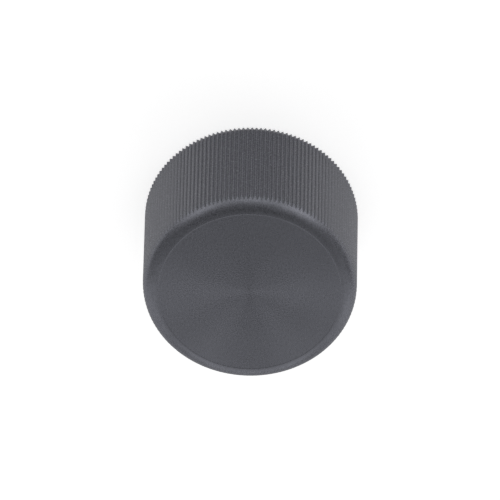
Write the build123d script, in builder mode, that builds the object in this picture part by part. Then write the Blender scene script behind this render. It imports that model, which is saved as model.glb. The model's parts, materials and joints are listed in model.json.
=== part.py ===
from build123d import *

import math
import os

# Grinder knob: a bar of aluminium turned, straight knurled and anodised in one piece, held on its
# shaft by one grub screw. It stands on its open back end, face up, with its origin at the centre
# of the back rim. Millimetres.

# Knob
knob_diameter = 38.2
knob_height = 24.65
edge_round = 2.68
face_step_width = 0.14
face_step_depth = 0.04

# Straight knurl: V grooves cut along the whole wall, with a narrow crest left between each two
knurl_count = 150
groove_depth = 0.42
crest_width = 0.04

# Back: a recess that clears the panel nut, then the bore for the shaft
nut_recess_diameter = 14.0
nut_recess_depth = 5.0
recess_chamfer = 0.5
shaft_diameter = 6.0
bore_depth = 14.0
bore_chamfer = 0.4
drill_point_angle = 118.0

# Grub screw, M3 with a hexagon socket
screw_diameter = 3.0
screw_length = 12.0
screw_clearance = 0.05
screw_above_recess = 6.0
tip_clearance = 0.2
screw_chamfer = 0.4
socket_across_flats = 1.5
socket_depth = 2.0
hole_chamfer = 0.3

# Worked out from the sizes above
knob_radius = knob_diameter / 2
corner_inset = edge_round * (1 - math.cos(math.radians(45)))
face_radius = knob_radius - edge_round - face_step_width
face_height = knob_height - face_step_depth
groove_pitch = 2 * math.pi * knob_radius / knurl_count
groove_half_width = (groove_pitch - crest_width) / 2
shaft_radius = shaft_diameter / 2
bore_end = nut_recess_depth + bore_depth
drill_point_height = shaft_radius / math.tan(math.radians(drill_point_angle / 2))
screw_height = nut_recess_depth + screw_above_recess
screw_tip = shaft_radius + tip_clearance
screw_head = screw_tip + screw_length
hole_radius = screw_diameter / 2 + screw_clearance

# The screw lies along Y, on the side away from the user; these planes face outwards along +Y
screw_plane = Plane(origin=(0, 0, screw_height), x_dir=(1, 0, 0), z_dir=(0, 1, 0))

os.makedirs("parts", exist_ok=True)


with BuildPart() as knob_body:
    # The turned blank: a plain cylinder whose front edge is a full quarter round. The face is
    # turned a hair below the top of the round, which leaves a fine line where they meet.
    with BuildSketch(Plane.XZ) as blank_profile:
        with BuildLine() as blank_outline:
            wall = Polyline((0, 0), (knob_radius, 0), (knob_radius, knob_height - edge_round))
            edge = Spline(
                wall @ 1,
                (knob_radius - corner_inset, knob_height - corner_inset),
                (knob_radius - edge_round, knob_height),
                tangents=((0, 1), (-1, 0)),
            )
            Polyline(edge @ 1, (face_radius, face_height), (0, face_height), (0, 0))
        make_face()
    revolve(axis=Axis.Z)

    # The knurl: each groove runs the whole wall and dies out in the front round
    with BuildSketch(Plane.XY) as groove_sections:
        with PolarLocations(knob_radius, knurl_count):
            Polygon(
                (-groove_depth, 0),
                (0, -groove_half_width),
                (groove_depth, -groove_half_width),
                (groove_depth, groove_half_width),
                (0, groove_half_width),
                align=None,
            )
    extrude(amount=knob_height, mode=Mode.SUBTRACT)

    # The back, bored out in one profile: recess, step, shaft bore and drill point
    with BuildSketch(Plane.XZ) as bore_profile:
        with BuildLine() as bore_outline:
            recess_radius = nut_recess_diameter / 2
            Polyline(
                (0, 0),
                (recess_radius + recess_chamfer, 0),
                (recess_radius, recess_chamfer),
                (recess_radius, nut_recess_depth),
                (shaft_radius + bore_chamfer, nut_recess_depth),
                (shaft_radius, nut_recess_depth + bore_chamfer),
                (shaft_radius, bore_end),
                (0, bore_end + drill_point_height),
                (0, 0),
            )
        make_face()
    revolve(axis=Axis.Z, mode=Mode.SUBTRACT)

    # The tapped hole, from the wall into the bore
    with BuildSketch(screw_plane) as hole_section:
        Circle(hole_radius)
    extrude(amount=knob_radius, mode=Mode.SUBTRACT)

    # Its mouth is countersunk a little below the crests
    mouth_plane = screw_plane.offset(knob_radius - groove_depth - hole_chamfer)
    with BuildSketch(mouth_plane) as mouth_section:
        Circle(hole_radius)
    extrude(amount=groove_depth + hole_chamfer, taper=-45, mode=Mode.SUBTRACT)

knob_body.part.label = "knob_body"
export_step(knob_body.part, "parts/knob_body.step")


with BuildPart() as grub_screw:
    with BuildSketch(screw_plane.offset(screw_tip)) as screw_section:
        Circle(screw_diameter / 2)
    extrude(amount=screw_length)
    chamfer(grub_screw.edges().filter_by(GeomType.CIRCLE), length=screw_chamfer)

    # The hexagon socket for the key, in the outer end
    with BuildSketch(screw_plane.offset(screw_head)) as socket_section:
        RegularPolygon(radius=socket_across_flats / 2, side_count=6, major_radius=False)
    extrude(amount=-socket_depth, mode=Mode.SUBTRACT)

grub_screw.part.label = "grub_screw"
export_step(grub_screw.part, "parts/grub_screw.step")
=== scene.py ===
"""Looks, light and camera for the grinder knob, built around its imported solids.

The knob is turned and straight knurled from one bar of aluminium, then anodised grey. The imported
solids give every place and every overall size; this file dresses them.
"""

import json
import logging
import math
from dataclasses import dataclass
from enum import Enum
from typing import Any, Iterable

import bpy
from mathutils import Matrix, Vector


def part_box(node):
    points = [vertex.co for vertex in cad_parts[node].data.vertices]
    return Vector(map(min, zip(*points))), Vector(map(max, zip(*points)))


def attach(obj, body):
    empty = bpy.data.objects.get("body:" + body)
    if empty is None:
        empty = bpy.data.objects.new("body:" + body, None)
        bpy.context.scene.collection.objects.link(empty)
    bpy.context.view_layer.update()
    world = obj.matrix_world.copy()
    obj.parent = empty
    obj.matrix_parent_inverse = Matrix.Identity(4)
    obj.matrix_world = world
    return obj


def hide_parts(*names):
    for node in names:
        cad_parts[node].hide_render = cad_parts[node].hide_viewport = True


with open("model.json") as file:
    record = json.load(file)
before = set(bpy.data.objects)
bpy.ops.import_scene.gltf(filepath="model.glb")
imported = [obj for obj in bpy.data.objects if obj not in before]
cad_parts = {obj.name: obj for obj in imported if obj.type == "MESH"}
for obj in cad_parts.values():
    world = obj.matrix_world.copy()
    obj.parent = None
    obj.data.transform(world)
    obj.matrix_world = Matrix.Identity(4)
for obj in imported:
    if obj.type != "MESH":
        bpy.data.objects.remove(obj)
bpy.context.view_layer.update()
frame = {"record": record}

MM = 0.001
LOG = logging.getLogger("grinder_knob")

# Points nearer to each other than this, in metres, are merged
WELD = 0.001 * MM
# Nearly all of a noise texture's values lie between these two
NOISE_LOW, NOISE_HIGH = 0.3, 0.7
# The shader draws a highlight out along the tangent; turned by this, it lies across the tangent
QUARTER_TURN = 0.25
# A bevel's profile that gives a circular arc
ARC = 0.5
# A face stands upright where its normal rises or falls less than this
UPRIGHT = 0.02


# ---------------------------------------------------------------- small helpers


def linear(hex_colour: str) -> tuple[float, float, float, float]:
    """Turns an sRGB hex colour into the linear values that a shader takes.

    Args:
        hex_colour: six hex digits, with or without a leading hash.

    Returns:
        Linear red, green, blue and an alpha of 1.
    """
    digits = hex_colour.lstrip("#")
    channels = [int(digits[i : i + 2], 16) / 255 for i in (0, 2, 4)]
    red, green, blue = (c / 12.92 if c <= 0.04045 else ((c + 0.055) / 1.055) ** 2.4
                        for c in channels)
    return (red, green, blue, 1.0)


def shades(hex_colour: str, contrast: float) -> list[tuple[float, float, float, float]]:
    """Gives a darker and a lighter shade of a colour.

    Args:
        hex_colour: the sRGB hex colour between the two shades.
        contrast: how far each shade lies from it, as a share of it.

    Returns:
        The dark shade and the light one, both linear.
    """
    red, green, blue, alpha = linear(hex_colour)
    return [(share * red, share * green, share * blue, alpha)
            for share in (1 - contrast, 1 + contrast)]


def add_node(tree: bpy.types.NodeTree, kind: str, settings: dict[str, Any] | None = None,
             links: dict[str, Any] | None = None) -> bpy.types.Node:
    """Adds one node to a shader tree, with its settings and links.

    Args:
        tree: the node tree to add to.
        kind: the node's type, such as ShaderNodeMath.
        settings: properties by name, or socket values by socket name or number.
        links: output sockets by the name or number of the input that they feed.

    Returns:
        The new node.
    """
    node = tree.nodes.new(kind)
    for name, value in (settings or {}).items():
        if isinstance(name, int) or name in node.inputs:
            node.inputs[name].default_value = value
        else:
            setattr(node, name, value)
    for name, source in (links or {}).items():
        tree.links.new(source, node.inputs[name])
    return node


def deselect_all() -> None:
    if bpy.context.mode != "OBJECT":
        bpy.ops.object.mode_set(mode="OBJECT")
    bpy.ops.object.select_all(action="DESELECT")


def make_active(piece: bpy.types.Object) -> None:
    """Makes one object the only selected one, and the active one.

    Args:
        piece: the object to select.
    """
    deselect_all()
    piece.select_set(True)
    bpy.context.view_layer.objects.active = piece


def apply_place(piece: bpy.types.Object) -> None:
    """Moves an object's place, turn and scale into its mesh."""
    make_active(piece)
    bpy.ops.object.transform_apply(location=True, rotation=True, scale=True)


def select_parts(piece: bpy.types.Object, faces: Iterable[int] = (), edges: Iterable[int] = (),
                 mode: str = "FACE") -> None:
    """Selects faces or edges by number and leaves the object in edit mode.

    Args:
        piece: the mesh object.
        faces: the numbers of the faces to select.
        edges: the numbers of the edges to select.
        mode: the kind of part that edit mode works on.
    """
    make_active(piece)
    bpy.ops.object.mode_set(mode="EDIT")
    bpy.ops.mesh.select_mode(type=mode)
    bpy.ops.mesh.select_all(action="DESELECT")
    bpy.ops.object.mode_set(mode="OBJECT")
    for number in faces:
        piece.data.polygons[number].select = True
    for number in edges:
        piece.data.edges[number].select = True
    bpy.ops.object.mode_set(mode="EDIT")


def cut(piece: bpy.types.Object, cutter: bpy.types.Object) -> None:
    """Cuts one closed mesh out of another and deletes the cutter.

    Args:
        piece: the object that is cut.
        cutter: the object that is taken out of it.
    """
    make_active(piece)
    modifier = piece.modifiers.new("cut", "BOOLEAN")
    modifier.operation = "DIFFERENCE"
    modifier.solver = "EXACT"
    modifier.object = cutter
    bpy.ops.object.modifier_apply(modifier=modifier.name)
    bpy.data.objects.remove(cutter)


class Axis(Enum):
    """The line that a turned piece is turned about."""

    SHAFT = Matrix.Identity(4)
    SCREW = Matrix.Rotation(-math.pi / 2, 4, "X")


def turned(name: str, sections: list[tuple[float, float]], steps: int, axis: Axis,
           height: float = 0.0) -> bpy.types.Object:
    """Turns a closed solid: a disc drawn out from section to section.

    Args:
        name: the new object's name.
        sections: radius of each section and its place along the axis, from first to last. The
            last radius may be 0, which closes the solid in a point.
        steps: how many sides the turned solid has.
        axis: the axis that it lies on.
        height: how far above the ground that axis passes, where it isn't the shaft's.

    Returns:
        The new object, at the origin.
    """
    deselect_all()
    radius, start = sections[0]
    bpy.ops.mesh.primitive_circle_add(vertices=steps, radius=radius, fill_type="NGON",
                                      location=(0, 0, start))
    piece = bpy.context.object
    piece.name = name
    apply_place(piece)
    bpy.ops.object.mode_set(mode="EDIT")
    bpy.ops.mesh.select_mode(type="FACE")
    bpy.ops.mesh.select_all(action="SELECT")
    for next_radius, place in sections[1:]:
        bpy.ops.mesh.extrude_region_move(
            TRANSFORM_OT_translate={"value": (0, 0, place - start)})
        if next_radius == 0:
            bpy.ops.mesh.merge(type="CENTER")
            break
        share = next_radius / radius
        bpy.ops.transform.resize(value=(share, share, 1), center_override=(0, 0, place))
        radius, start = next_radius, place
    bpy.ops.mesh.select_all(action="SELECT")
    bpy.ops.mesh.normals_make_consistent(inside=False)
    bpy.ops.object.mode_set(mode="OBJECT")
    piece.data.transform(Matrix.Translation((0, 0, height)) @ axis.value)
    return piece


def ring_of(piece: bpy.types.Object, count: int) -> bpy.types.Object:
    """Copies a piece round the shaft's axis, each copy with its own mesh, and joins them.

    Args:
        piece: the first piece of the ring.
        count: how many pieces the whole ring has.

    Returns:
        The ring as one object.
    """
    copies = []
    for number in range(1, count):
        copy = piece.copy()
        copy.data = piece.data.copy()
        copy.data.transform(Matrix.Rotation(2 * math.pi * number / count, 4, "Z"))
        bpy.context.scene.collection.objects.link(copy)
        copies.append(copy)
    make_active(piece)
    for copy in copies:
        copy.select_set(True)
    bpy.ops.object.join()
    return piece


class Tip(Enum):
    """Which way the tip of a thread's triangle points."""

    INWARDS = math.pi
    OUTWARDS = 0.0


def coil(name: str, tip: Tip, tip_radius: float, side: float, pitch: float, start: float,
         turns: int, height: float, steps: int = 36) -> bpy.types.Object:
    """Winds an even-sided triangle into a closed coil on the grub screw's axis.

    Args:
        name: the new object's name.
        tip: which way the triangle points.
        tip_radius: how far its tip lies from the screw's axis.
        side: how long each side of the triangle is.
        pitch: how far apart the turns are.
        start: where the coil starts along the screw's axis.
        turns: how many turns it has.
        height: how far above the ground the screw's axis passes.
        steps: how many steps a turn has.

    Returns:
        The new object, at the origin.
    """
    deselect_all()
    reach = side / math.sqrt(3)
    middle = tip_radius + (reach if tip is Tip.INWARDS else -reach)
    bpy.ops.mesh.primitive_circle_add(vertices=3, radius=reach, location=(middle, 0, start))
    piece = bpy.context.object
    piece.name = name
    corner = piece.data.vertices[0].co
    turn = math.atan2(corner.y, corner.x)
    piece.matrix_world = (Matrix.Translation((middle, 0, start))
                          @ Matrix.Rotation(math.pi / 2, 4, "X")
                          @ Matrix.Rotation(tip.value - turn, 4, "Z"))
    apply_place(piece)
    winding = piece.modifiers.new("winding", "SCREW")
    winding.axis = "Z"
    winding.angle = 2 * math.pi
    winding.screw_offset = pitch
    winding.iterations = turns
    winding.steps = winding.render_steps = steps
    winding.use_normal_calculate = True
    bpy.ops.object.modifier_apply(modifier=winding.name)
    bpy.ops.object.mode_set(mode="EDIT")
    bpy.ops.mesh.select_mode(type="EDGE")
    bpy.ops.mesh.select_all(action="SELECT")
    bpy.ops.mesh.remove_doubles(threshold=WELD)
    bpy.ops.mesh.select_all(action="DESELECT")
    bpy.ops.mesh.select_non_manifold()
    bpy.ops.mesh.fill_holes(sides=3)
    bpy.ops.mesh.select_all(action="SELECT")
    bpy.ops.mesh.normals_make_consistent(inside=False)
    bpy.ops.object.mode_set(mode="OBJECT")
    piece.data.transform(Matrix.Translation((0, 0, height)) @ Axis.SCREW.value)
    return piece


# ---------------------------------------------------------------- finishes


class Cut(Enum):
    """How a surface of the aluminium was cut, which decides how it spreads the light."""

    TURNED = "turned"
    KNURLED = "knurled"


@dataclass(frozen=True)
class AnodisedAluminium:
    """Aluminium turned or knurled, matt blasted and anodised dark grey.

    The dyed oxide is a clear grey skin of fine pores on the metal. The eye gets a soft satin grey
    that scatters light wide, keeps the metal's sheen and brightens towards grazing angles. Where
    the metal was turned, the feed marks still run in rings, so they spread the light across
    themselves and draw it into a faint fan round the axis.

    Attributes:
        cut: how the surface was cut.
        metal_share: how far it answers light as metal, and not as dyed oxide.
        roughness: its mean roughness.
        colour: its mean colour, as sRGB hex digits.
        contrast: how far the grain's two end shades lie from that colour, as a share of it.
        edge_tint: how much light the metal gives back at grazing angles.
        fan: how strongly the feed rings spread light across themselves.
        grain_size: how wide the grain is, in metres, as every length here.
        grain_depth: how deep the grain is.
        grain_roughness: how much the grain's finer detail shows.
        cloud_size: how wide the faint clouds in the dye are.
        cloud_share: their share of the tint; the grain has the rest.
        tint_range: the values of the tint that give the two end shades.
        gloss_spread: how far the roughness strays from its mean, up and down.
        feed: how far the tool moved in one turn, which is the width of a ring.
        ring_share: how high the rings are, as a share of the grain's depth.
    """

    cut: Cut
    metal_share: float
    roughness: float
    colour: str
    contrast: float
    edge_tint: float = 0.5
    fan: float = 0.88
    grain_size: float = 0.22 * MM
    grain_depth: float = 0.004 * MM
    grain_roughness: float = 0.6
    cloud_size: float = 6.0 * MM
    cloud_share: float = 0.06
    tint_range: tuple[float, float] = (0.25, 0.75)
    gloss_spread: float = 0.05
    feed: float = 0.2 * MM
    ring_share: float = 0.12

    def material(self) -> bpy.types.Material:
        """Builds the material.

        Returns:
            A node material on Object coordinates.
        """
        made = bpy.data.materials.new(f"{self.cut.value}_anodised_aluminium")
        made.use_nodes = True
        tree = made.node_tree
        shader = tree.nodes["Principled BSDF"]
        shader.inputs["Metallic"].default_value = self.metal_share
        shader.inputs["Specular Tint"].default_value = (self.edge_tint,) * 3 + (1.0,)
        place = add_node(tree, "ShaderNodeTexCoord").outputs["Object"]

        # The blasted grain is about 0.05 mm; it is drawn coarser so that it shows
        grain = add_node(tree, "ShaderNodeTexNoise",
                         {"Scale": 1 / self.grain_size, "Detail": 2.0,
                          "Roughness": self.grain_roughness}, {"Vector": place})
        cloud = add_node(tree, "ShaderNodeTexNoise",
                         {"Scale": 1 / self.cloud_size, "Detail": 1.0}, {"Vector": place})
        grain_tint = add_node(tree, "ShaderNodeMath",
                              {"operation": "MULTIPLY", 1: 1 - self.cloud_share},
                              {0: grain.outputs["Fac"]})
        tint = add_node(tree, "ShaderNodeMath",
                        {"operation": "MULTIPLY_ADD", 1: self.cloud_share},
                        {0: cloud.outputs["Fac"], 2: grain_tint.outputs[0]})
        shade = add_node(tree, "ShaderNodeValToRGB", {}, {"Fac": tint.outputs[0]})
        dark, light = shade.color_ramp.elements
        dark.position, light.position = self.tint_range
        dark.color, light.color = shades(self.colour, self.contrast)
        tree.links.new(shade.outputs["Color"], shader.inputs["Base Color"])

        gloss = add_node(tree, "ShaderNodeMapRange",
                         {"From Min": NOISE_LOW, "From Max": NOISE_HIGH,
                          "To Min": self.roughness - self.gloss_spread,
                          "To Max": self.roughness + self.gloss_spread},
                         {"Value": grain.outputs["Fac"]})
        tree.links.new(gloss.outputs["Result"], shader.inputs["Roughness"])

        height = grain.outputs["Fac"]
        if self.cut is Cut.TURNED:
            height = self.ringed(tree, place, height)
            # The feed rings lie along the tangent, and light spreads across them
            around = add_node(tree, "ShaderNodeTangent",
                              {"direction_type": "RADIAL", "axis": "Z"})
            shader.inputs["Anisotropic"].default_value = self.fan
            shader.inputs["Anisotropic Rotation"].default_value = QUARTER_TURN
            tree.links.new(around.outputs[0], shader.inputs["Tangent"])
        bump = add_node(tree, "ShaderNodeBump", {"Strength": 1.0, "Distance": self.grain_depth},
                        {"Height": height})
        tree.links.new(bump.outputs[0], shader.inputs["Normal"])
        return made

    def ringed(self, tree: bpy.types.NodeTree, place: bpy.types.NodeSocket,
               height: bpy.types.NodeSocket) -> bpy.types.NodeSocket:
        """Adds the rings of the tool's feed, round the shaft's axis, to the surface's height.

        Args:
            tree: the material's node tree.
            place: the point on the surface, in Object coordinates.
            height: the height without the rings.

        Returns:
            The height with them.
        """
        axes = add_node(tree, "ShaderNodeSeparateXYZ", {}, {0: place})
        flat = add_node(tree, "ShaderNodeCombineXYZ", {},
                        {"X": axes.outputs["X"], "Y": axes.outputs["Y"]})
        radius = add_node(tree, "ShaderNodeVectorMath", {"operation": "LENGTH"},
                          {0: flat.outputs[0]})
        turns = add_node(tree, "ShaderNodeMath",
                         {"operation": "MULTIPLY", 1: 2 * math.pi / self.feed},
                         {0: radius.outputs["Value"]})
        ring = add_node(tree, "ShaderNodeMath", {"operation": "SINE"}, {0: turns.outputs[0]})
        both = add_node(tree, "ShaderNodeMath",
                        {"operation": "MULTIPLY_ADD", 1: self.ring_share},
                        {0: ring.outputs[0], 2: height})
        return both.outputs[0]


@dataclass(frozen=True)
class BlackOxideSteel:
    """Hardened steel with a black oxide finish, as on small socket screws.

    The thin oxide is nearly black, and the oil that it holds leaves a soft sheen with small
    patches that shine more.

    Attributes:
        colour: its mean colour, as sRGB hex digits.
        contrast: how far the patches' two end shades lie from that colour, as a share of it.
        roughness: its mean roughness.
        gloss_spread: how far the roughness strays from its mean, up and down.
        patch_size: how wide the patches are, in metres.
    """

    colour: str = "#3a3a3d"
    contrast: float = 0.3
    roughness: float = 0.38
    gloss_spread: float = 0.1
    patch_size: float = 0.6 * MM

    def material(self) -> bpy.types.Material:
        """Builds the material.

        Returns:
            A node material on Object coordinates.
        """
        made = bpy.data.materials.new("black_oxide_steel")
        made.use_nodes = True
        tree = made.node_tree
        shader = tree.nodes["Principled BSDF"]
        shader.inputs["Metallic"].default_value = 1.0
        place = add_node(tree, "ShaderNodeTexCoord").outputs["Object"]
        patches = add_node(tree, "ShaderNodeTexNoise",
                           {"Scale": 1 / self.patch_size, "Detail": 3.0}, {"Vector": place})
        shade = add_node(tree, "ShaderNodeValToRGB", {}, {"Fac": patches.outputs["Fac"]})
        dark, light = shade.color_ramp.elements
        dark.color, light.color = shades(self.colour, self.contrast)
        tree.links.new(shade.outputs["Color"], shader.inputs["Base Color"])
        gloss = add_node(tree, "ShaderNodeMapRange",
                         {"From Min": NOISE_LOW, "From Max": NOISE_HIGH,
                          "To Min": self.roughness - self.gloss_spread,
                          "To Max": self.roughness + self.gloss_spread},
                         {"Value": patches.outputs["Fac"]})
        tree.links.new(gloss.outputs["Result"], shader.inputs["Roughness"])
        return made


# ---------------------------------------------------------------- the knob


@dataclass
class ScrewThread:
    """The M3 thread that the cross hole and the grub screw share, with its sizes in metres.

    Attributes:
        centre_height: how far above the ground the screw's axis passes.
        tip: where the screw's inner end lies along that axis.
        head: where its outer end lies.
        crest_radius: the screw's radius.
        groove_radius: the radius at the bottom of the screw's groove.
        hole_radius: the radius of the drilled hole.
        hole_groove_radius: the radius at the bottom of the hole's groove.
        pitch: how far apart the turns are.
        side: how long each side of the groove's triangle is, which reaches past the crests.
        spare_turns: how many turns the screw's groove has past its ends.
    """

    centre_height: float
    tip: float
    head: float
    crest_radius: float = 1.5 * MM
    groove_radius: float = 1.17 * MM
    hole_radius: float = 1.29 * MM
    hole_groove_radius: float = 1.6 * MM
    pitch: float = 0.5 * MM
    side: float = 0.485 * MM
    spare_turns: int = 2

    def groove(self) -> bpy.types.Object:
        """Winds the groove between the screw's ridges, run out past both ends.

        Returns:
            A coil to cut from the screw's blank.
        """
        turns = math.ceil((self.head - self.tip) / self.pitch) + self.spare_turns
        return coil("screw_groove", Tip.INWARDS, self.groove_radius, self.side, self.pitch,
                    self.tip - self.pitch, turns, self.centre_height)

    def tapped_groove(self, start: float, end: float) -> bpy.types.Object:
        """Winds the groove in the hole's wall, half a pitch from the screw's own groove.

        Args:
            start: where along the screw's axis it starts at the earliest.
            end: where it ends at the latest.

        Returns:
            A coil to cut from the knob.
        """
        turns_back = math.floor((self.tip - start) / self.pitch)
        first = self.tip - (turns_back - 0.5) * self.pitch
        turns = math.floor((end - first) / self.pitch)
        return coil("tapped_groove", Tip.OUTWARDS, self.hole_groove_radius, self.side,
                    self.pitch, first, turns, self.centre_height)


@dataclass
class KnobBody:
    """The turned and knurled body, with every size in metres.

    The depths of the recess and the bore are heights above the back end, which stands on the
    ground, and the mouth depth is measured in from the ridges' crests. The smooth angle lies
    between the 4.5 degrees from facet to facet of the edge round and the 8 degrees of the step
    round the face, which stays sharp.
    """

    radius: float
    height: float
    bore_radius: float
    thread: ScrewThread
    edge_round: float = 2.68 * MM
    face_step_width: float = 0.14 * MM
    face_step_depth: float = 0.02 * MM
    ridge_count: int = 150
    groove_depth: float = 0.42 * MM
    crest_width: float = 0.04 * MM
    root_width: float = 0.08 * MM
    recess_radius: float = 7.0 * MM
    recess_depth: float = 5.0 * MM
    recess_chamfer: float = 0.5 * MM
    bore_end: float = 19.0 * MM
    bore_chamfer: float = 0.4 * MM
    drill_point: float = 1.8 * MM
    mouth_depth: float = 1.0 * MM
    steps_per_ridge: int = 4
    round_steps: int = 20
    bore_steps: int = 128
    hole_steps: int = 64
    smooth_angle: float = math.radians(6)

    def blank(self) -> bpy.types.Object:
        """Turns the blank: a cylinder with a full quarter round and a face a hair below it.

        Returns:
            The blank, standing on its back end.
        """
        deselect_all()
        bpy.ops.mesh.primitive_cylinder_add(
            vertices=self.ridge_count * self.steps_per_ridge, radius=self.radius,
            depth=self.height, location=(0, 0, self.height / 2))
        piece = bpy.context.object
        piece.name = "knurled_knob"
        apply_place(piece)
        top = self.height - self.edge_round / 2
        verts = piece.data.vertices
        rim = [e.index for e in piece.data.edges
               if all(verts[v].co.z > top for v in e.vertices)]
        select_parts(piece, edges=rim, mode="EDGE")
        bpy.ops.mesh.bevel(offset=self.edge_round, segments=self.round_steps, profile=ARC,
                           affect="EDGES", clamp_overlap=False)
        bpy.ops.object.mode_set(mode="OBJECT")
        face = max(piece.data.polygons, key=lambda f: f.center.z * f.area)
        select_parts(piece, faces=[face.index])
        bpy.ops.mesh.inset(thickness=self.face_step_width, depth=-self.face_step_depth)
        bpy.ops.object.mode_set(mode="OBJECT")
        return piece

    def knurl(self) -> bpy.types.Object:
        """Makes the grooves of the knurl: one V bar, copied round the wall.

        Returns:
            All the bars, as one cutter.
        """
        pitch = 2 * math.pi * self.radius / self.ridge_count
        width = pitch - self.crest_width
        overlap = self.groove_depth
        deselect_all()
        bpy.ops.mesh.primitive_cube_add(size=1, location=(self.radius + overlap / 2, 0,
                                                          self.height / 2))
        bar = bpy.context.object
        bar.name = "knurl_grooves"
        bar.scale = (overlap, width, self.height + 2 * overlap)
        apply_place(bar)
        inner = min(bar.data.polygons, key=lambda f: f.center.x)
        select_parts(bar, faces=[inner.index])
        bpy.ops.mesh.extrude_region_move(
            TRANSFORM_OT_translate={"value": (-self.groove_depth, 0, 0)})
        bpy.ops.transform.resize(value=(1, self.root_width / width, 1), center_override=(0, 0, 0))
        bpy.ops.mesh.select_all(action="SELECT")
        bpy.ops.mesh.remove_doubles(threshold=WELD)
        bpy.ops.mesh.normals_make_consistent(inside=False)
        bpy.ops.object.mode_set(mode="OBJECT")
        return ring_of(bar, self.ridge_count)

    def bore(self) -> bpy.types.Object:
        """Turns what the back loses: nut recess, shaft bore and drill point.

        Returns:
            One cutter on the shaft's axis.
        """
        # The chamfer's cone starts as far below the back as it ends above it
        chamfer = self.recess_chamfer
        sections = [
            (self.recess_radius + 2 * chamfer, -chamfer),
            (self.recess_radius, chamfer),
            (self.recess_radius, self.recess_depth),
            (self.bore_radius + self.bore_chamfer, self.recess_depth),
            (self.bore_radius, self.recess_depth + self.bore_chamfer),
            (self.bore_radius, self.bore_end),
            (0.0, self.bore_end + self.drill_point),
        ]
        return turned("bore_cutter", sections, self.bore_steps, Axis.SHAFT)

    def cross_hole(self) -> bpy.types.Object:
        """Turns the grub screw's hole, with its countersunk mouth.

        Returns:
            One cutter on the screw's axis.
        """
        mouth = self.radius - self.mouth_depth
        past = self.radius + self.groove_depth
        sections = [
            (self.thread.hole_radius, 0.0),
            (self.thread.hole_radius, mouth),
            (self.thread.hole_radius + past - mouth, past),
        ]
        return turned("cross_hole_cutter", sections, self.hole_steps, Axis.SCREW,
                      self.thread.centre_height)

    def dress(self, piece: bpy.types.Object) -> None:
        """Gives the knurl and the turned surfaces their own finish.

        Args:
            piece: the finished body.
        """
        turned_finish = AnodisedAluminium(Cut.TURNED, metal_share=0.8, roughness=0.27,
                                          colour="#6d6e75", contrast=0.4)
        knurled_finish = AnodisedAluminium(Cut.KNURLED, metal_share=0.15, roughness=0.25,
                                           colour="#707178", contrast=0.2)
        for finish in (turned_finish, knurled_finish):
            piece.data.materials.append(finish.material())
        # The knurl's faces stand upright near the wall, and those of the edge round lean
        inside = self.radius - self.groove_depth - self.edge_round / 2
        for face in piece.data.polygons:
            upright = abs(face.normal.z) < UPRIGHT
            near_wall = math.hypot(face.center.x, face.center.y) > inside
            face.material_index = int(upright and near_wall)

    def build(self) -> bpy.types.Object:
        """Builds the whole body.

        Returns:
            The finished mesh, smooth over the round and sharp at each ridge.
        """
        piece = self.blank()
        cut(piece, self.knurl())
        cut(piece, self.bore())
        cut(piece, self.cross_hole())
        cut(piece, self.thread.tapped_groove(self.bore_radius, self.radius - self.mouth_depth))
        self.dress(piece)
        make_active(piece)
        bpy.ops.object.shade_smooth_by_angle(angle=self.smooth_angle)
        return piece


@dataclass
class GrubScrew:
    """The M3 socket screw that clamps the shaft, with its sizes in metres."""

    thread: ScrewThread
    chamfer: float = 0.4 * MM
    cup_radius: float = 0.75 * MM
    cup_depth: float = 0.4 * MM
    socket_across_flats: float = 1.5 * MM
    socket_depth: float = 2.0 * MM
    socket_sides: int = 6
    blank_steps: int = 96
    cup_steps: int = 48
    smooth_angle: float = math.radians(25)

    def blank(self) -> bpy.types.Object:
        """Turns the blank, chamfered at both ends, with a cup point towards the shaft.

        Returns:
            The blank on the screw's axis.
        """
        thread = self.thread
        sections = [
            (thread.crest_radius - self.chamfer, thread.tip),
            (thread.crest_radius, thread.tip + self.chamfer),
            (thread.crest_radius, thread.head - self.chamfer),
            (thread.crest_radius - self.chamfer, thread.head),
        ]
        return turned("socket_grub_screw", sections, self.blank_steps, Axis.SCREW,
                      thread.centre_height)

    def cup(self) -> bpy.types.Object:
        """Turns the hollow of the cup point: a cone that starts half its depth past the tip.

        Returns:
            One cutter on the screw's axis.
        """
        past = self.cup_depth / 2
        sections = [
            (self.cup_radius * 1.5, self.thread.tip - past),
            (0.0, self.thread.tip + self.cup_depth),
        ]
        return turned("cup_cutter", sections, self.cup_steps, Axis.SCREW,
                      self.thread.centre_height)

    def socket(self) -> bpy.types.Object:
        """Makes the hexagon socket, with the drill point at its bottom.

        Returns:
            One six-sided cutter.
        """
        corner = self.socket_across_flats / math.sqrt(3)
        thread = self.thread
        sections = [
            (corner, thread.head + self.chamfer),
            (corner, thread.head - self.socket_depth),
            (0.0, thread.head - self.socket_depth - corner / 2),
        ]
        return turned("socket_cutter", sections, self.socket_sides, Axis.SCREW,
                      thread.centre_height)

    def build(self) -> bpy.types.Object:
        """Builds the whole screw.

        Returns:
            The finished mesh.
        """
        piece = self.blank()
        cut(piece, self.thread.groove())
        cut(piece, self.socket())
        cut(piece, self.cup())
        piece.data.materials.append(BlackOxideSteel().material())
        make_active(piece)
        bpy.ops.object.shade_smooth_by_angle(angle=self.smooth_angle)
        return piece


# ---------------------------------------------------------------- the studio


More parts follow.
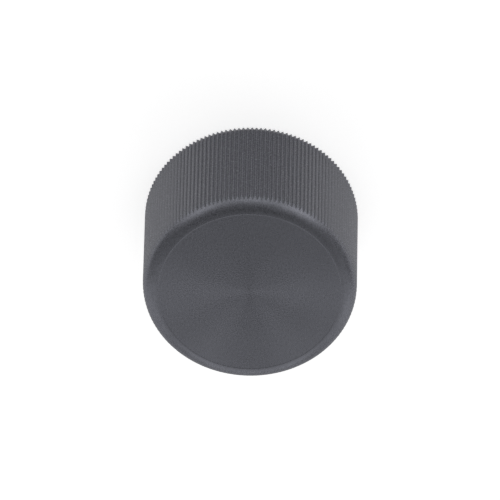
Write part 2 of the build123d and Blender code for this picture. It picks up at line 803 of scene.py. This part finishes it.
@dataclass(frozen=True)
class SoftLight:
    """One soft patch of light on the inside of the tent, or a pair of them.

    The azimuth runs from +X towards +Y, and the elevation up from the floor, both in degrees. A
    pair lies to the left and right of the YZ plane.
    """

    azimuth: float
    elevation: float
    strength: float
    pair: bool = False

    def directions(self) -> list[Vector]:
        """Gives the unit vector towards the middle of each patch.

        Returns:
            One vector, or two for a pair.
        """
        around, up = math.radians(self.azimuth), math.radians(self.elevation)
        first = Vector((math.cos(up) * math.cos(around), math.cos(up) * math.sin(around),
                        math.sin(up)))
        return [first, first * Vector((-1, 1, 1))] if self.pair else [first]


@dataclass(frozen=True)
class Softbox:
    """A square soft lamp close behind the knob, aimed at it, with its sizes in metres.

    It is near enough to shine more on the near side of the knob's face than on the far one. Its
    strength is what a white mirror would show of it.
    """

    place: tuple[float, float, float]
    size: float
    strength: float
    aim_height: float = 20.0 * MM

    def build(self) -> None:
        """Hangs the lamp, which lights the knob and isn't seen itself."""
        data = bpy.data.lights.new("softbox", "AREA")
        data.shape = "SQUARE"
        data.size = self.size
        data.energy = self.strength * math.pi * self.size ** 2
        lamp = bpy.data.objects.new("softbox", data)
        bpy.context.scene.collection.objects.link(lamp)
        back = Vector(self.place) - Vector((0, 0, self.aim_height))
        lamp.matrix_world = (Matrix.Translation(self.place)
                             @ back.to_track_quat("Z", "Y").to_matrix().to_4x4())
        lamp.visible_camera = False


@dataclass
class Studio:
    """A plain pale floor in a light tent, bright low down and dim overhead, and soft lamps.

    Attributes:
        floor_size: how wide the floor is, in metres.
        floor_colour: its colour, as sRGB hex digits.
        glow: what it shows beside its own colour where it is seen as background.
        narrowness: how fast a patch of light fades; at 14 half is gone 18 degrees from its middle.
        lights: the patches of light on the inside of the tent.
        softboxes: the lamps close behind the knob.
    """

    floor_size: float = 3.0
    floor_colour: str = "#e6e6e6"
    glow: float = 0.66
    narrowness: float = 14.0
    lights: tuple[SoftLight, ...] = (
        SoftLight(-90, 5, 1.45),
        SoftLight(-45, 8, 1.6),
        SoftLight(-135, 8, 1.9),
        SoftLight(0, 0, 0.15, pair=True),
        SoftLight(45, 0, 0.65, pair=True),
        SoftLight(90, 0, 0.55),
        SoftLight(0, 25, 0.18),
        SoftLight(180, 25, 0.26),
        SoftLight(45, 25, 0.68),
        SoftLight(135, 25, 0.78),
        SoftLight(90, 25, 0.5),
        SoftLight(-90, 45, 0.28),
        SoftLight(-45, 38, 0.3),
        SoftLight(-135, 38, 0.48),
        SoftLight(0, 50, 0.18, pair=True),
        SoftLight(45, 50, 0.27, pair=True),
        SoftLight(90, 72, 0.1),
        SoftLight(0, 90, 0.13),
    )
    softboxes: tuple[Softbox, ...] = (
        Softbox((50 * MM, 100 * MM, 130 * MM), 80 * MM, 0.36),
        Softbox((0.0, 110 * MM, 130 * MM), 80 * MM, 0.13),
        Softbox((-50 * MM, 100 * MM, 130 * MM), 80 * MM, 0.33),
        Softbox((0.0, 80 * MM, 70 * MM), 50 * MM, 0.5),
    )

    def shown_white(self, tree: bpy.types.NodeTree) -> bpy.types.NodeSocket:
        """Tells where a ray sees the stage as background: straight, mirrored or through glass.

        Args:
            tree: the node tree to add to.

        Returns:
            A socket that is 1 for such a ray and 0 for one that only carries light.
        """
        path = add_node(tree, "ShaderNodeLightPath")
        mirrored = add_node(tree, "ShaderNodeMath", {"operation": "MAXIMUM"},
                            {0: path.outputs["Is Camera Ray"], 1: path.outputs["Is Glossy Ray"]})
        shown = add_node(tree, "ShaderNodeMath", {"operation": "MAXIMUM"},
                         {0: mirrored.outputs[0], 1: path.outputs["Is Transmission Ray"]})
        return shown.outputs[0]

    def floor(self) -> None:
        """Lays the floor."""
        deselect_all()
        bpy.ops.mesh.primitive_plane_add(size=self.floor_size)
        floor = bpy.context.object
        floor.name = "studio_floor"
        made = bpy.data.materials.new("white_card")
        made.use_nodes = True
        tree = made.node_tree
        tree.nodes.clear()
        card = add_node(tree, "ShaderNodeBsdfDiffuse", {"Color": linear(self.floor_colour)})
        strength = add_node(tree, "ShaderNodeMath", {"operation": "MULTIPLY", 1: self.glow},
                            {0: self.shown_white(tree)})
        glow = add_node(tree, "ShaderNodeEmission", {"Color": (1, 1, 1, 1)},
                        {"Strength": strength.outputs[0]})
        both = add_node(tree, "ShaderNodeAddShader", {},
                        {0: card.outputs[0], 1: glow.outputs[0]})
        add_node(tree, "ShaderNodeOutputMaterial", {}, {"Surface": both.outputs[0]})
        floor.data.materials.append(made)

    def tent(self) -> None:
        """Sets the tent's light: a sum of soft patches, each fading away from its middle."""
        world = bpy.data.worlds.new("light_tent")
        bpy.context.scene.world = world
        world.use_nodes = True
        tree = world.node_tree
        background = tree.nodes["Background"]
        background.inputs["Color"].default_value = (1.0, 1.0, 1.0, 1.0)
        towards = add_node(tree, "ShaderNodeTexCoord").outputs["Generated"]
        patches = [(direction, light.strength) for light in self.lights
                   for direction in light.directions()]
        total: bpy.types.NodeSocket | None = None
        for direction, strength in patches:
            nearness = add_node(tree, "ShaderNodeVectorMath",
                                {"operation": "DOT_PRODUCT", 1: direction}, {0: towards})
            fade = add_node(tree, "ShaderNodeMath",
                            {"operation": "MULTIPLY_ADD", 1: self.narrowness,
                             2: math.log(strength) - self.narrowness},
                            {0: nearness.outputs["Value"]})
            patch = add_node(tree, "ShaderNodeMath", {"operation": "EXPONENT"},
                             {0: fade.outputs[0]})
            so_far = add_node(tree, "ShaderNodeMath", {"operation": "ADD", 1: 0.0},
                              {0: patch.outputs[0]})
            if total is not None:
                tree.links.new(total, so_far.inputs[1])
            total = so_far.outputs[0]
        tree.links.new(total, background.inputs["Strength"])

    def build(self) -> None:
        """Builds floor, tent and lamps."""
        self.floor()
        self.tent()
        for softbox in self.softboxes:
            softbox.build()


@dataclass
class Camera:
    """A long lens that looks down on the knob from the front, turned upside down.

    Attributes:
        knob_radius: the knob's radius, in metres.
        knob_height: the knob's height, in metres.
        distance: how far away the face is, in knob radii.
        focal: the focal length, in millimetres.
        sensor_width: the sensor's width, in millimetres.
        clip_shares: where the view begins and ends, as shares of the distance.
        tilt: the angle between the line of sight and the shaft's axis, in degrees.
        roll: the turn about the line of sight, in degrees.
        turn: the turn about the shaft's axis, in degrees.
        aside: how far right and up of the line of sight the face's middle is, in knob radii.
    """

    knob_radius: float
    knob_height: float
    distance: float = 150.0
    focal: float = 1157.832
    sensor_width: float = 36.0
    clip_shares: tuple[float, float] = (0.5, 2.0)
    tilt: float = 32.83
    roll: float = -1.33
    turn: float = -0.68
    aside: tuple[float, float] = (-0.00288, -0.3908)

    def build(self) -> None:
        """Makes the scene's camera."""
        data = bpy.data.cameras.new("camera")
        data.lens = self.focal
        data.sensor_width = self.sensor_width
        reach = self.distance * self.knob_radius
        data.clip_start, data.clip_end = (share * reach for share in self.clip_shares)
        camera = bpy.data.objects.new("camera", data)
        bpy.context.scene.collection.objects.link(camera)
        tilt = math.radians(self.tilt)
        upside_down = Matrix(((-1, 0, 0), (0, -math.cos(tilt), -math.sin(tilt)),
                              (0, -math.sin(tilt), math.cos(tilt))))
        world_to_camera = (Matrix.Rotation(math.radians(self.roll), 3, "Z") @ upside_down
                           @ Matrix.Rotation(-math.radians(self.turn), 3, "Z"))
        back = world_to_camera.transposed()
        face = Vector((self.aside[0], self.aside[1], -self.distance)) * self.knob_radius
        place = Vector((0, 0, self.knob_height)) - back @ face
        camera.matrix_world = Matrix.Translation(place) @ back.to_4x4()
        bpy.context.scene.camera = camera


def stand_in(piece: bpy.types.Object, node: str) -> None:
    """Puts a piece in place of a CAD node and reports it.

    Args:
        piece: the new piece.
        node: the name of the CAD node that it stands for.
    """
    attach(piece, "root")
    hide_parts(node)
    LOG.info("%s stands for %s, with %d faces", piece.name, node, len(piece.data.polygons))


def main() -> None:
    """Builds the scene and reports each piece."""
    logging.basicConfig(level=logging.INFO, format="%(name)s: %(message)s")
    low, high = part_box("knob_body")
    screw_low, screw_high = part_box("grub_screw")
    bore = next(m for m in frame["record"]["mounts"] if m["name"] == "shaft_bore")
    radius = (high.y - low.y) / 2
    thread = ScrewThread(centre_height=(screw_low.z + screw_high.z) / 2, tip=screw_low.y,
                         head=screw_high.y)
    knob = KnobBody(radius=radius, height=high.z, bore_radius=bore["dims"]["r_mm"] * MM,
                    thread=thread)
    stand_in(knob.build(), "knob_body")
    stand_in(GrubScrew(thread).build(), "grub_screw")

    Studio().build()
    Camera(knob_radius=radius, knob_height=high.z).build()
    bpy.context.scene.view_settings.view_transform = "Standard"


if __name__ == "__main__":
    main()
